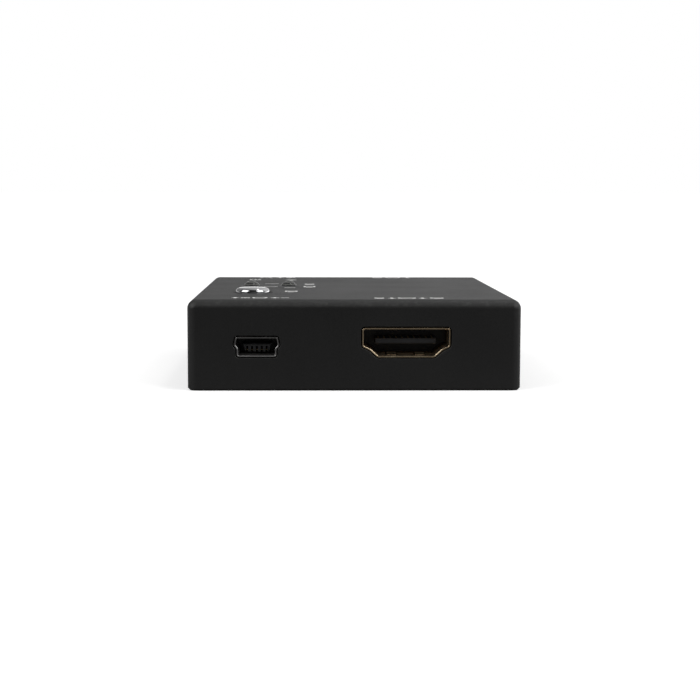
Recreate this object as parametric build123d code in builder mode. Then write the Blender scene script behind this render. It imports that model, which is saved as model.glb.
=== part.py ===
from build123d import *
import os

os.makedirs("parts", exist_ok=True)

# Sizes are in millimetres. X runs to the right seen from the front, the front faces -Y, Z is up.
# The origin is on the table under the middle of the case.

# Case: a five-sided moulded cover over a flat base plate
case_width = 55.0
case_depth = 66.0
case_height = 15.0
edge_radius = 1.5
rim_bevel = 0.4
wall = 1.6
roof = 1.6
base_thickness = 1.5
rebate_wall = 0.8
parting_gap = 0.1
lip_width = 1.0
lip_height = 1.0
lip_gap = 0.15
rib_thickness = 1.0
rib_reach = 1.2
rib_spacing = 15.0

# Two screws hold base plate, board and cover together; blocks carry the other corners
screw_radius = 1.0
screw_gap = 0.05
screw_grip = 4.5
screw_sink = 0.3
head_radius = 1.9
head_height = 1.1
head_gap = 0.2
slot_width = 0.45
slot_length = 2.2
slot_depth = 0.6
boss_radius = 2.4
boss_clear = 0.7
web_thickness = 1.0
standoff_height = 2.4
rest_width = 3.0

# Circuit board
board_thickness = 1.6
board_gap = 0.25
board_hole_gap = 0.3
slot_gap = 0.15

# Metal strip of all contacts and small springs, and the feet soldered to the board
strip_thickness = 0.15
foot_length = 0.9
block_gap = 0.05

# Display socket, used twice: a shell bent from sheet, wide side up, on the board
display_width = 14.6
display_height = 4.95
display_shoulder = 1.75
display_knee_width = 12.0
display_knee = 1.15
display_floor_width = 9.5
display_radii = (0.7, 0.9, 0.6, 0.6)
display_length = 11.0
display_wall = 0.3
display_tongue_width = 10.1
display_tongue_thickness = 0.9
display_tongue_height = 2.57
display_tongue_setback = 1.8
display_block_length = 4.2
display_contact_width = 0.3
display_contact_spacing = 1.0
display_contact_count = 10
display_leg_width = 1.2
display_leg_depths = (2.6, 8.6)
finger_spread = 4.7
finger_width = 1.5
finger_length = 4.0
finger_root = 5.4
finger_crest = 1.3
finger_bulge = 0.35
finger_lift = 0.1
finger_slot = 0.25

# Power socket: a smaller shell with flared sides, wide side up
power_height = 3.35
power_top_width = 7.0
power_wing_width = 7.6
power_wing = 1.9
power_floor_width = 6.6
power_knee = 1.25
power_radii = (0.4, 0.5, 0.4, 0.45)
power_lift = 0.1
power_length = 9.2
power_wall = 0.3
power_tongue_top_width = 4.75
power_tongue_floor_width = 3.75
power_tongue_low = 0.7
power_tongue_thickness = 1.33
power_tongue_setback = 1.5
power_block_length = 3.2
power_contact_width = 0.35
power_contact_spacing = 0.8
power_contact_count = 5
power_contact_setback = 3.0
power_groove_height = 0.95
power_leg_width = 1.4
power_leg_depths = (2.4, 6.6)

# Audio socket: a moulded body with a round nose
jack_radius = 1.8
jack_guide = 4.0
jack_chamber_gap = 0.35
jack_chamber_length = 10.0
jack_body_width = 6.4
jack_body_gap = 0.25
jack_body_length = 12.4
jack_body_height = 6.3
jack_corner = 0.3
jack_nose_wall = 0.7
jack_axis_height = 3.85
jack_hole_taper = 2
spring_width = 1.2
spring_height = 1.7
spring_depths = (6.0, 9.5)
window_gap = 0.15

# Sockets sit this far behind the wall's face, with this gap to the cut-out round them
port_setback = 0.15
port_gap = 0.16

# Places of the sockets, each measured from the nearer side wall's face
display_output_inset = 19.0
display_input_inset = 17.9
power_inset = 11.4
jack_inset = 13.5

# Push button: a domed cap on the plunger of a snap switch
button_left = 10.05
button_front = 18.8
cap_radius = 2.95
cap_rise = 0.9
cap_edge = 0.75
cap_corner = 0.74
cap_gap = 0.15
cap_flange_reach = 0.75
cap_flange = 0.8
cap_travel = 0.35
well_lip = 0.55
well_depth = 0.45
switch_width = 6.0
switch_height = 3.2
switch_plate = 0.3
plate_inset = 0.3
plate_tab = 1.5
switch_cavity_radius = 2.6
switch_corner = 0.3
switch_cavity_depth = 1.5
plunger_radius = 1.7
plunger_collar_gap = 0.4
plunger_gap = 0.1
dome_gap = 0.2
dome_skin = 0.12
dome_flat = 0.8
dome_leg_width = 1.6
terminal_width = 0.7
terminal_reach = 1.2
terminal_spread = 4.5

# Two indicator lamps beside and behind the button
lamp_left = (9.1, 16.1)
lamp_front = 38.4
lamp_radius = 1.5
lamp_length = 5.3
lamp_rise = 0.4
lamp_dome = 0.55
lamp_flange_reach = 0.4
lamp_flange = 1.0
lamp_gap = 0.1
lead_width = 0.45
lead_spread = 2.54
lead_tail = 0.9
spacer_gap = 0.07
spacer_width = 2.2

# Chips and other parts on the board
chip_lift = 0.1
chip_chamfer = 0.12
lead_thickness = 0.15
lead_reach = 0.45
scaler_width = 14.0
scaler_thickness = 1.4
scaler_lead_spacing = 1.25
scaler_lead_count = 10
scaler_lead_width = 0.4
scaler_right = 21.5
scaler_clear = 6.1
receiver_width = 9.0
receiver_thickness = 0.85
receiver_clear = 3.0
memory_size = (8.0, 12.5)
memory_thickness = 1.0
memory_clear = 1.5
flash_size = (3.9, 4.9)
flash_thickness = 1.5
flash_lead_count = 4
flash_clear = 3.3
small_lead_spacing = 1.27
small_lead_width = 0.42
codec_size = (4.4, 6.6)
codec_thickness = 1.2
codec_lead_count = 5
codec_rear = 19.0
crystal_size = (4.6, 11.0)
crystal_height = 3.2
crystal_clear = 2.1
crystal_flange = 0.5
crystal_rim = 0.4
inductor_width = 5.0
inductor_height = 2.8
inductor_fronts = (14.0, 20.5)
inductor_corner = 1.0
inductor_core = 1.9
inductor_dip = 0.25
regulator_size = (3.5, 6.5)
regulator_thickness = 1.6
regulator_front = 6.5
regulator_lead_width = 0.7
regulator_lead_spacing = 2.3
regulator_tab_width = 3.0
can_radius = 2.5
can_height = 5.4
can_base = 0.9
can_fronts = (29.5, 46.0)
can_left = 7.0
can_margin = 0.1
ceramic_size = (0.8, 1.6)
ceramic_height = 0.8
ceramic_spacing = 2.6
ceramic_count = 5
ceramic_clear = 1.6

# Places worked out from the sizes above
half_width = case_width / 2
half_depth = case_depth / 2
roof_z = case_height - roof
board_low = base_thickness + standoff_height
board_top = board_low + board_thickness
board_width = case_width - 2 * wall - 2 * board_gap
board_depth = case_depth - 2 * wall - 2 * board_gap
screw_inset = wall + boss_clear + boss_radius
screw_x = half_width - screw_inset
screw_y = half_depth - screw_inset
screw_places = ((screw_x, -screw_y), (-screw_x, screw_y))
rest_x = half_width - wall - rest_width / 2
rest_y = half_depth - wall - rest_width / 2
rest_places = ((-rest_x, -rest_y), (rest_x, rest_y))
display_output_x = half_width - display_output_inset
display_input_x = half_width - display_input_inset
power_x = power_inset - half_width
jack_x = jack_inset - half_width
jack_nose_radius = jack_radius + jack_nose_wall
jack_chamber_radius = jack_radius + jack_chamber_gap
button_x = button_left - half_width
button_y = button_front - half_depth
lamp_y = lamp_front - half_depth
lamp_x = [left - half_width for left in lamp_left]
hole_radius = cap_radius + cap_gap
well_radius = hole_radius + well_lip
cap_flange_radius = cap_radius + cap_flange_reach
flange_top = roof_z - cap_gap
flange_low = flange_top - cap_flange
switch_top = board_top + switch_height
cavity_floor = switch_top - switch_cavity_depth
collar_top = switch_top - plunger_gap
plunger_collar_radius = switch_cavity_radius - plunger_collar_gap
dome_radius = switch_cavity_radius - dome_gap
dome_rise = cap_travel + dome_skin
dome_top = cavity_floor + dome_rise
lamp_top = case_height + lamp_rise
lamp_low = lamp_top - lamp_length
lamp_flange_radius = lamp_radius + lamp_flange_reach


def port_plane(direction, across, lift=0):
    """Plane of a socket's mouth: Y is up from the socket's foot, Z points out of the case."""
    place = (across, direction * (half_depth - port_setback), board_top + lift)
    return Plane(origin=place, x_dir=(-direction, 0, 0), z_dir=(0, direction, 0))


def side_plane(port, across):
    """Plane along a socket's depth: X runs into the case, Y is up from the board."""
    return Plane(origin=port.origin + port.x_dir * across, x_dir=-port.z_dir, z_dir=port.x_dir)


def spot(port, across, depth):
    """Place on the board, as X and Y of the case, of a point behind a socket's mouth."""
    place = port.origin + port.x_dir * across - port.z_dir * depth
    return (place.X, place.Y)


def turned_plane(x, y, across=Vector(1, 0, 0)):
    """Upright plane through a vertical axis: X is the radius, Y the height in the case."""
    return Plane(origin=(x, y, 0), x_dir=across, z_dir=across.cross(Vector(0, 0, 1)))


def display_outline(growth):
    """Display socket from outside: flat top, shoulders drawn in to a narrow floor."""
    with BuildSketch() as outline:
        with BuildLine():
            FilletPolyline(
                (0, 0),
                (display_floor_width / 2, 0),
                (display_knee_width / 2, display_knee),
                (display_width / 2, display_shoulder),
                (display_width / 2, display_height),
                (0, display_height),
                radius=display_radii,
            )
            mirror(about=Plane.YZ)
        make_face()
        if growth:
            offset(amount=growth, mode=Mode.REPLACE)
    return outline.sketch


def power_outline(growth):
    """Power socket from outside: leaning upper sides, a flare, then a narrower floor."""
    with BuildSketch() as outline:
        with BuildLine():
            FilletPolyline(
                (0, 0),
                (power_floor_width / 2, 0),
                (power_floor_width / 2, power_knee),
                (power_wing_width / 2, power_wing),
                (power_top_width / 2, power_height),
                (0, power_height),
                radius=power_radii,
            )
            mirror(about=Plane.YZ)
        make_face()
        if growth:
            offset(amount=growth, mode=Mode.REPLACE)
    return outline.sketch


def save(part, name):
    part.label = name
    export_step(part, "parts/" + name + ".step")


output_port = port_plane(-1, display_output_x)
input_port = port_plane(1, display_input_x)
power_port = port_plane(-1, power_x, power_lift)
jack_port = port_plane(1, jack_x)

# Top cover: rounded top and corners, open below, with the cut-outs for sockets, button and lamps
with BuildPart() as top_cover:
    Box(case_width, case_depth, case_height, align=(Align.CENTER, Align.CENTER, Align.MIN))
    top_edges = top_cover.faces().sort_by(Axis.Z)[-1].edges()
    fillet(top_cover.edges().filter_by(Axis.Z) + top_edges, edge_radius)
    chamfer(top_cover.faces().sort_by(Axis.Z)[0].edges(), rim_bevel)
    with BuildSketch():
        Rectangle(case_width - 2 * wall, case_depth - 2 * wall)
    extrude(amount=roof_z, mode=Mode.SUBTRACT)
    with BuildSketch():
        RectangleRounded(
            case_width - 2 * rebate_wall, case_depth - 2 * rebate_wall, edge_radius - rebate_wall
        )
    extrude(amount=base_thickness, mode=Mode.SUBTRACT)
    # Screw bosses stand on the board, each tied to two walls by webs; blocks fill the other corners
    with BuildSketch(Plane.XY.offset(board_top)):
        reach = screw_inset - wall / 2
        for x, y in screw_places:
            with Locations((x, y)):
                Circle(boss_radius)
            with Locations((x + reach / 2 * (1 if x > 0 else -1), y)):
                Rectangle(reach, web_thickness)
            with Locations((x, y + reach / 2 * (1 if y > 0 else -1))):
                Rectangle(web_thickness, reach)
            with Locations((x, y)):
                Circle(screw_radius + screw_gap, mode=Mode.SUBTRACT)
        with Locations(*rest_places):
            Rectangle(rest_width, rest_width)
    extrude(amount=roof_z - board_top)
    # Stiffening ribs down the inside of the long walls, ending above the board
    with BuildSketch(Plane.XY.offset(board_top + board_gap)):
        with GridLocations(case_width - 2 * wall - rib_reach, rib_spacing, 2, 3):
            Rectangle(rib_reach + wall / 2, rib_thickness)
    extrude(amount=roof_z - board_top - board_gap)
    # Well and hole that guide the cap
    with BuildSketch(turned_plane(button_x, button_y)):
        with BuildLine():
            Polyline(
                (0, roof_z),
                (hole_radius, roof_z),
                (hole_radius, case_height - well_depth),
                (well_radius, case_height),
                (0, case_height),
                close=True,
            )
        make_face()
    revolve(axis=Axis((button_x, button_y, 0), (0, 0, 1)), mode=Mode.SUBTRACT)
    with BuildSketch(Plane.XY.offset(roof_z)):
        with Locations(*[(x, lamp_y) for x in lamp_x]):
            Circle(lamp_radius + lamp_gap)
    extrude(amount=roof, mode=Mode.SUBTRACT)
    # Cut-outs in the front and rear walls
    for port in (output_port, input_port):
        with BuildSketch(port.offset(port_setback)):
            add(display_outline(port_gap))
        extrude(amount=-wall, mode=Mode.SUBTRACT)
    with BuildSketch(power_port.offset(port_setback)):
        add(power_outline(port_gap))
    extrude(amount=-wall, mode=Mode.SUBTRACT)
    with BuildSketch(jack_port.offset(port_setback - wall)):
        with Locations((0, jack_axis_height)):
            Circle(jack_nose_radius + port_gap)
    extrude(amount=wall, taper=-jack_hole_taper, mode=Mode.SUBTRACT)
save(top_cover.part, "top_cover")

# Base plate: let into the cover's rim, with a locating lip and four supports for the board
with BuildPart() as base_plate:
    plate_edge = rebate_wall + parting_gap
    with BuildSketch():
        RectangleRounded(
            case_width - 2 * plate_edge, case_depth - 2 * plate_edge, edge_radius - plate_edge
        )
    extrude(amount=base_thickness)
    lip_edge = wall + lip_gap
    inner_edge = lip_edge + lip_width
    with BuildSketch(Plane.XY.offset(base_thickness)):
        Rectangle(case_width - 2 * lip_edge, case_depth - 2 * lip_edge)
        Rectangle(case_width - 2 * inner_edge, case_depth - 2 * inner_edge, mode=Mode.SUBTRACT)
    extrude(amount=lip_height)
    with BuildSketch(Plane.XY.offset(base_thickness)):
        with Locations(*screw_places):
            Circle(boss_radius)
        with Locations(*rest_places):
            Rectangle(rest_width - 2 * lip_gap, rest_width - 2 * lip_gap)
    extrude(amount=standoff_height)
    with Locations(*[Plane(origin=(x, y, 0), z_dir=(0, 0, -1)) for x, y in screw_places]):
        CounterBoreHole(
            radius=screw_radius + screw_gap,
            counter_bore_radius=head_radius + head_gap,
            counter_bore_depth=screw_sink + head_height,
            depth=board_low,
        )
save(base_plate.part, "base_plate")

# Case screws: flat-topped self-tapping screws with a cross slot, driven from below
with BuildPart() as case_screw:
    head_top = screw_sink + head_height
    with BuildSketch(Plane.XY.offset(screw_sink)):
        Circle(head_radius)
    extrude(amount=head_height)
    with BuildSketch(Plane.XY.offset(head_top)):
        Circle(screw_radius)
    extrude(amount=board_top + screw_grip - head_top)
    with BuildSketch(Plane.XY.offset(screw_sink)):
        Rectangle(slot_length, slot_width)
        Rectangle(slot_width, slot_length)
    extrude(amount=slot_depth, mode=Mode.SUBTRACT)
with BuildPart() as case_screws:
    with Locations(*screw_places):
        add(case_screw.part)
save(case_screws.part, "case_screws")

# Main board, with holes for the screws and slots for the shells' legs and the lamp leads
with BuildPart() as main_board:
    display_leg = display_width / 2 - display_wall / 2
    power_leg = power_wing_width / 2 - power_wall / 2
    display_legs = [
        spot(port, side * display_leg, depth)
        for port in (output_port, input_port)
        for side in (-1, 1)
        for depth in display_leg_depths
    ]
    power_legs = [
        spot(power_port, side * power_leg, depth) for side in (-1, 1) for depth in power_leg_depths
    ]
    lamp_leads = [(x + side * lead_spread / 2, lamp_y) for x in lamp_x for side in (-1, 1)]
    with BuildSketch(Plane.XY.offset(board_low)):
        Rectangle(board_width, board_depth)
        with Locations(*screw_places):
            Circle(screw_radius + board_hole_gap, mode=Mode.SUBTRACT)
        with Locations(*display_legs):
            Rectangle(
                display_wall + 2 * slot_gap, display_leg_width + 2 * slot_gap, mode=Mode.SUBTRACT
            )
        with Locations(*power_legs):
            Rectangle(
                power_wall + 2 * slot_gap, power_leg_width + 2 * slot_gap, mode=Mode.SUBTRACT
            )
        with Locations(*lamp_leads):
            Rectangle(lead_width + 2 * slot_gap, lead_width + 2 * slot_gap, mode=Mode.SUBTRACT)
    extrude(amount=board_thickness)
save(main_board.part, "main_board")


def display_socket(port, name):
    """Shell with spring fingers and legs, insulator with its tongue, and two rows of contacts."""
    outward = Axis(port.origin, port.z_dir)
    leg_length = board_thickness + lead_tail + display_shoulder + display_wall
    with BuildPart() as shell:
        with BuildSketch(port):
            add(display_outline(0))
            add(display_outline(-display_wall), mode=Mode.SUBTRACT)
        extrude(amount=-display_length)
        # Legs carry on straight down from the sides, through the board
        for depth in display_leg_depths:
            with BuildSketch(port.offset(display_leg_width / 2 - depth)):
                top = display_shoulder + display_wall
                with Locations(*[(side * display_leg, top) for side in (-1, 1)]):
                    Rectangle(display_wall, leg_length, align=(Align.CENTER, Align.MAX))
            extrude(amount=-display_leg_width)
        # Spring fingers: cut free on three sides in floor and top, bent in towards the plug
        for level in (display_wall / 2, display_height - display_wall / 2):
            inward = 1 if level < display_height / 2 else -1
            tip = finger_root - finger_length
            slot_middle = (finger_root + tip - finger_slot) / 2
            with BuildSketch(Plane(port.origin, port.x_dir, port.y_dir).offset(level)):
                with Locations(*[(side * finger_spread / 2, slot_middle) for side in (-1, 1)]):
                    Rectangle(finger_width + 2 * finger_slot, finger_length + finger_slot)
            extrude(amount=display_wall / 2, both=True, mode=Mode.SUBTRACT)
            for side in (-1, 1):
                middle = side_plane(port, side * finger_spread / 2)
                with BuildSketch(middle):
                    with BuildLine():
                        finger_line = Polyline(
                            (finger_root + display_wall, level),
                            (finger_root - display_wall, level),
                            (tip + finger_crest, level + inward * finger_bulge),
                            (tip + display_wall / 2, level + inward * finger_lift),
                        )
                        offset(
                            finger_line,
                            amount=display_wall / 2,
                            kind=Kind.INTERSECTION,
                            side=Side.BOTH,
                            mode=Mode.REPLACE,
                        )
                    make_face()
                extrude(amount=finger_width / 2, both=True)
    save(shell.part, name + "_shell")

    back = display_length
    block_front = display_length - display_block_length
    tongue_top = display_tongue_height + display_tongue_thickness / 2
    tongue_low = display_tongue_height - display_tongue_thickness / 2
    tip = display_tongue_setback + display_wall
    low_corner = (Align.MIN, Align.MIN)
    with BuildPart() as contacts:
        for count, level in (
            (display_contact_count, tongue_top - strip_thickness / 2),
            (display_contact_count - 1, tongue_low + strip_thickness / 2),
        ):
            middle = (count - 1) / 2
            rows = [side_plane(port, (i - middle) * display_contact_spacing) for i in range(count)]
            with BuildSketch(*rows):
                with Locations(((tip + back + strip_thickness) / 2, level)):
                    Rectangle(back + strip_thickness - tip, strip_thickness)
                with Locations((back, 0)):
                    Rectangle(strip_thickness, level + strip_thickness / 2, align=low_corner)
                    Rectangle(foot_length, strip_thickness, align=low_corner)
            extrude(amount=display_contact_width / 2, both=True)
    save(contacts.part, name + "_contacts")

    with BuildPart() as insulator:
        with BuildSketch(port.offset(-display_tongue_setback)):
            with Locations((0, display_tongue_height)):
                Rectangle(display_tongue_width, display_tongue_thickness)
        extrude(amount=display_tongue_setback - block_front)
        chamfer(insulator.faces().sort_by(outward)[-1].edges(), strip_thickness)
        with BuildSketch(port.offset(-block_front)):
            add(display_outline(-display_wall - block_gap))
        extrude(amount=-display_block_length)
        add(contacts.part, mode=Mode.SUBTRACT)
    save(insulator.part, name + "_insulator")


display_socket(output_port, "output_socket")
display_socket(input_port, "input_socket")

# Power socket shell: flared sheet metal tube on four legs
with BuildPart() as power_socket_shell:
    with BuildSketch(power_port):
        add(power_outline(0))
        add(power_outline(-power_wall), mode=Mode.SUBTRACT)
    extrude(amount=-power_length)
    for depth in power_leg_depths:
        with BuildSketch(power_port.offset(power_leg_width / 2 - depth)):
            with Locations(*[(side * power_leg, power_wing + power_wall / 2) for side in (-1, 1)]):
                Rectangle(
                    power_wall,
                    power_wing + power_wall / 2 + power_lift + board_thickness + lead_tail,
                    align=(Align.CENTER, Align.MAX),
                )
        extrude(amount=-power_leg_width)
save(power_socket_shell.part, "power_socket_shell")

# Power socket contacts: five strips in the tongue's grooves, with feet on the board
power_block_front = power_length - power_block_length
with BuildPart() as power_socket_contacts:
    middle = (power_contact_count - 1) / 2
    strips = [
        side_plane(power_port, (i - middle) * power_contact_spacing)
        for i in range(power_contact_count)
    ]
    strip_level = power_tongue_low + strip_thickness
    strip_length = power_length + strip_thickness - power_contact_setback
    with BuildSketch(*strips):
        low_corner = (Align.MIN, Align.MIN)
        with Locations((power_contact_setback, strip_level)):
            Rectangle(strip_length, strip_thickness, align=low_corner)
        with Locations((power_length, -power_lift)):
            Rectangle(strip_thickness, strip_level + strip_thickness + power_lift, align=low_corner)
            Rectangle(foot_length, strip_thickness, align=low_corner)
    extrude(amount=power_contact_width / 2, both=True)
save(power_socket_contacts.part, "power_socket_contacts")

# Power socket insulator: rear block and a tongue, deeply grooved below for the strips
with BuildPart() as power_socket_insulator:
    with BuildSketch(power_port.offset(-power_tongue_setback)):
        with BuildLine():
            Polyline(
                (-power_tongue_floor_width / 2, power_tongue_low),
                (power_tongue_floor_width / 2, power_tongue_low),
                (power_tongue_top_width / 2, power_tongue_low + power_tongue_thickness),
                (-power_tongue_top_width / 2, power_tongue_low + power_tongue_thickness),
                close=True,
            )
        make_face()
    extrude(amount=power_tongue_setback - power_block_front)
    outward = Axis(power_port.origin, power_port.z_dir)
    chamfer(power_socket_insulator.faces().sort_by(outward)[-1].edges(), strip_thickness)
    with BuildSketch(power_port.offset(-power_block_front)):
        add(power_outline(-power_wall - block_gap))
    extrude(amount=-power_block_length)
    with BuildSketch(*strips):
        with Locations((power_tongue_setback - strip_thickness, power_tongue_low)):
            Rectangle(
                power_block_front + strip_thickness - power_tongue_setback,
                power_groove_height,
                align=(Align.MIN, Align.MIN),
            )
    extrude(amount=power_contact_width / 2, both=True, mode=Mode.SUBTRACT)
    add(power_socket_contacts.part, mode=Mode.SUBTRACT)
save(power_socket_insulator.part, "power_socket_insulator")

# Audio socket body: a block with a round nose, bored for the plug, wider where the springs are
with BuildPart() as audio_jack_body:
    body_front = wall + jack_body_gap
    with BuildSketch(jack_port.offset(-body_front)):
        Rectangle(jack_body_width, jack_body_height, align=(Align.CENTER, Align.MIN))
    extrude(amount=-jack_body_length)
    chamfer(audio_jack_body.edges().filter_by(Axis.Y).group_by(Axis.Z)[-1], jack_corner)
    with BuildSketch(jack_port):
        with Locations((0, jack_axis_height)):
            Circle(jack_nose_radius)
    extrude(amount=-body_front)
    with BuildSketch(jack_port):
        with Locations((0, jack_axis_height)):
            Circle(jack_radius)
    extrude(amount=-jack_guide, mode=Mode.SUBTRACT)
    with BuildSketch(jack_port.offset(-jack_guide)):
        with Locations((0, jack_axis_height)):
            Circle(jack_chamber_radius)
    extrude(amount=-jack_chamber_length, mode=Mode.SUBTRACT)
    # Windows in the sides, where the springs come out to their feet
    for depth in spring_depths:
        with BuildSketch(jack_port.offset(spring_width / 2 + window_gap - depth)):
            with Locations((0, jack_axis_height)):
                Rectangle(jack_body_width, spring_height + 2 * window_gap)
        extrude(amount=-spring_width - 2 * window_gap, mode=Mode.SUBTRACT)
save(audio_jack_body.part, "audio_jack_body")

# Audio socket springs: strips beside the plug's path, bent out to feet on the board
with BuildPart() as audio_jack_springs:
    for depth in spring_depths:
        inner = jack_radius + strip_thickness
        outer = jack_body_width / 2
        with BuildSketch(jack_port.offset(spring_width / 2 - depth)):
            for side in (-1, 1):
                with Locations((side * (inner + strip_thickness / 2), jack_axis_height)):
                    Rectangle(strip_thickness, spring_height)
                level = jack_axis_height - spring_height / 2 + strip_thickness / 2
                with Locations((side * (inner + outer + strip_thickness) / 2, level)):
                    Rectangle(outer + strip_thickness - inner, strip_thickness)
                foot_corner = (Align.MIN if side > 0 else Align.MAX, Align.MIN)
                with Locations((side * outer, 0)):
                    Rectangle(strip_thickness, level + strip_thickness / 2, align=foot_corner)
                    Rectangle(foot_length, strip_thickness, align=foot_corner)
        extrude(amount=-spring_width)
save(audio_jack_springs.part, "audio_jack_springs")

# Button cap: plated, with a low crown, a rounded rim, a flange behind the roof and a foot on the plunger
button_axis = Axis((button_x, button_y, 0), (0, 0, 1))
with BuildPart() as button_cap:
    dome_edge = case_height + cap_edge
    with BuildSketch(turned_plane(button_x, button_y)):
        crown = cap_rise - cap_edge
        with BuildLine():
            Polyline(
                (0, case_height + cap_rise),
                (0, flange_low),
                (cap_flange_radius, flange_low),
                (cap_flange_radius, flange_top),
                (cap_radius, flange_top),
                (cap_radius, dome_edge),
            )
            RadiusArc(
                (cap_radius, dome_edge),
                (0, case_height + cap_rise),
                -(cap_radius**2 + crown**2) / (2 * crown),
            )
        make_face()
        fillet(vertices().sort_by_distance((cap_radius, dome_edge))[0], cap_corner)
    revolve(axis=button_axis)
save(button_cap.part, "button_cap")

# Switch plunger: passes up through the switch's plate, its collar lies between dome and plate
with BuildPart() as switch_plunger:
    with BuildSketch(turned_plane(button_x, button_y)):
        with BuildLine():
            Polyline(
                (0, dome_top),
                (plunger_collar_radius, dome_top),
                (plunger_collar_radius, collar_top),
                (plunger_radius, collar_top),
                (plunger_radius, flange_low),
                (0, flange_low),
                close=True,
            )
        make_face()
    revolve(axis=button_axis)
save(switch_plunger.part, "switch_plunger")

# Switch body: square block with the round pocket for the snap dome
with BuildPart() as switch_body:
    with BuildSketch(Plane.XY.offset(board_top)):
        with Locations((button_x, button_y)):
            Rectangle(switch_width, switch_width)
    extrude(amount=switch_height)
    chamfer(switch_body.edges().filter_by(Axis.Z), switch_corner)
    with BuildSketch(Plane.XY.offset(cavity_floor)):
        with Locations((button_x, button_y)):
            Circle(switch_cavity_radius)
    extrude(amount=switch_cavity_depth, mode=Mode.SUBTRACT)
save(switch_body.part, "switch_body")

# Switch plate: sheet cover over the pocket, bent down over two sides of the block
with BuildPart() as switch_cover:
    with BuildSketch(Plane.XY.offset(switch_top)):
        with Locations((button_x, button_y)):
            Rectangle(switch_width + 2 * strip_thickness, switch_width - 2 * plate_inset)
            Circle(plunger_radius + plunger_gap, mode=Mode.SUBTRACT)
    extrude(amount=switch_plate)
    with BuildSketch(Plane.XY.offset(switch_top)):
        with Locations((button_x, button_y)):
            with GridLocations(switch_width + strip_thickness, 0, 2, 1):
                Rectangle(strip_thickness, switch_width - 2 * plate_inset)
    extrude(amount=-plate_tab)
save(switch_cover.part, "switch_plate")

# Snap dome: sheet with a flat middle and four legs, buckles under the plunger and pushes it back
with BuildPart() as snap_dome:
    for across in (Vector(1, 0, 0), Vector(0, 1, 0)):
        with BuildSketch(turned_plane(button_x, button_y, across)):
            with BuildLine():
                Polyline(
                    (0, dome_top),
                    (dome_flat, dome_top),
                    (dome_radius, cavity_floor + dome_skin),
                    (dome_radius, cavity_floor),
                    (dome_flat, dome_top - dome_skin),
                    (0, dome_top - dome_skin),
                )
                mirror(about=Plane.YZ)
            make_face()
        extrude(amount=dome_leg_width / 2, both=True)
save(snap_dome.part, "snap_dome")

# Switch terminals: four feet bent out onto the board
with BuildPart() as switch_terminals:
    with BuildSketch(Plane.XY.offset(board_top)):
        with Locations((button_x, button_y)):
            with GridLocations(terminal_spread, switch_width + terminal_reach, 2, 2):
                Rectangle(terminal_width, terminal_reach)
    extrude(amount=lead_thickness)
save(switch_terminals.part, "switch_terminals")

# Indicator lamps: moulded lens with a flange, two leads, and a spacer down to the board
for lamp_name, x in zip(("power_lamp", "signal_lamp"), lamp_x):
    with BuildPart() as lens:
        with BuildSketch(turned_plane(x, lamp_y)):
            with BuildLine():
                Polyline(
                    (0, lamp_top),
                    (0, lamp_low),
                    (lamp_flange_radius, lamp_low),
                    (lamp_flange_radius, lamp_low + lamp_flange),
                    (lamp_radius, lamp_low + lamp_flange),
                    (lamp_radius, lamp_top - lamp_dome),
                )
                RadiusArc(
                    (lamp_radius, lamp_top - lamp_dome),
                    (0, lamp_top),
                    -(lamp_radius**2 + lamp_dome**2) / (2 * lamp_dome),
                )
            make_face()
        revolve(axis=Axis((x, lamp_y, 0), (0, 0, 1)))
    save(lens.part, lamp_name + "_lens")

    with BuildPart() as leads:
        with BuildSketch(Plane.XY.offset(board_low - lead_tail)):
            with Locations((x, lamp_y)):
                with GridLocations(lead_spread, 0, 2, 1):
                    Rectangle(lead_width, lead_width)
        extrude(amount=lamp_low - board_low + lead_tail)
    save(leads.part, lamp_name + "_leads")

    with BuildPart() as spacer:
        with BuildSketch(Plane.XY.offset(board_top)):
            with Locations((x, lamp_y)):
                Rectangle(2 * lamp_flange_radius, spacer_width)
                with GridLocations(lead_spread, 0, 2, 1):
                    Rectangle(
                        lead_width + 2 * spacer_gap, lead_width + 2 * spacer_gap, mode=Mode.SUBTRACT
                    )
        extrude(amount=lamp_low - board_top)
    save(spacer.part, lamp_name + "_spacer")


def chip(x, y, size, thickness, lift):
    """Moulded chip body with bevelled top edges."""
    with BuildPart() as body:
        with BuildSketch(Plane.XY.offset(board_top + lift)):
            with Locations((x, y)):
                Rectangle(*size)
        extrude(amount=thickness)
        chamfer(body.faces().sort_by(Axis.Z)[-1].edges(), chip_chamfer)
    return body.part


def lead_rows(x, y, across, turns, count, spacing, width, thickness, start=0):
    """Gull-wing leads on the sides of a chip: out, down, and a foot on the board."""
    level = chip_lift + thickness / 2
    with BuildPart() as row:
        planes = [Plane.XZ.offset((i - (count - 1) / 2) * spacing) for i in range(count)]
        with BuildSketch(*planes):
            with Locations((across / 2, level)):
                Rectangle(lead_reach, lead_thickness, align=(Align.MIN, Align.CENTER))
            with Locations((across / 2 + lead_reach - lead_thickness, 0)):
                Rectangle(lead_thickness, level, align=(Align.MIN, Align.MIN))
                Rectangle(lead_reach, lead_thickness, align=(Align.MIN, Align.MIN))
        extrude(amount=width / 2, both=True)
    with BuildPart() as leads:
        with Locations((x, y, board_top)):
            with PolarLocations(0, turns, start_angle=start):
                add(row.part)
    return leads.part


# Scaler chip: square, with leads on four sides, between the two display sockets
scaler_x = half_width - scaler_right
scaler_y = display_length + scaler_clear + scaler_width / 2 - half_depth
scaler_edge = scaler_width / 2 + 2 * lead_reach - lead_thickness
save(
    chip(scaler_x, scaler_y, (scaler_width, scaler_width), scaler_thickness, chip_lift),
    "scaler_chip",
)
save(
    lead_rows(
        scaler_x,
        scaler_y,
        scaler_width,
        4,
        scaler_lead_count,
        scaler_lead_spacing,
        scaler_lead_width,
        scaler_thickness,
    ),
    "scaler_chip_leads",
)

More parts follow.
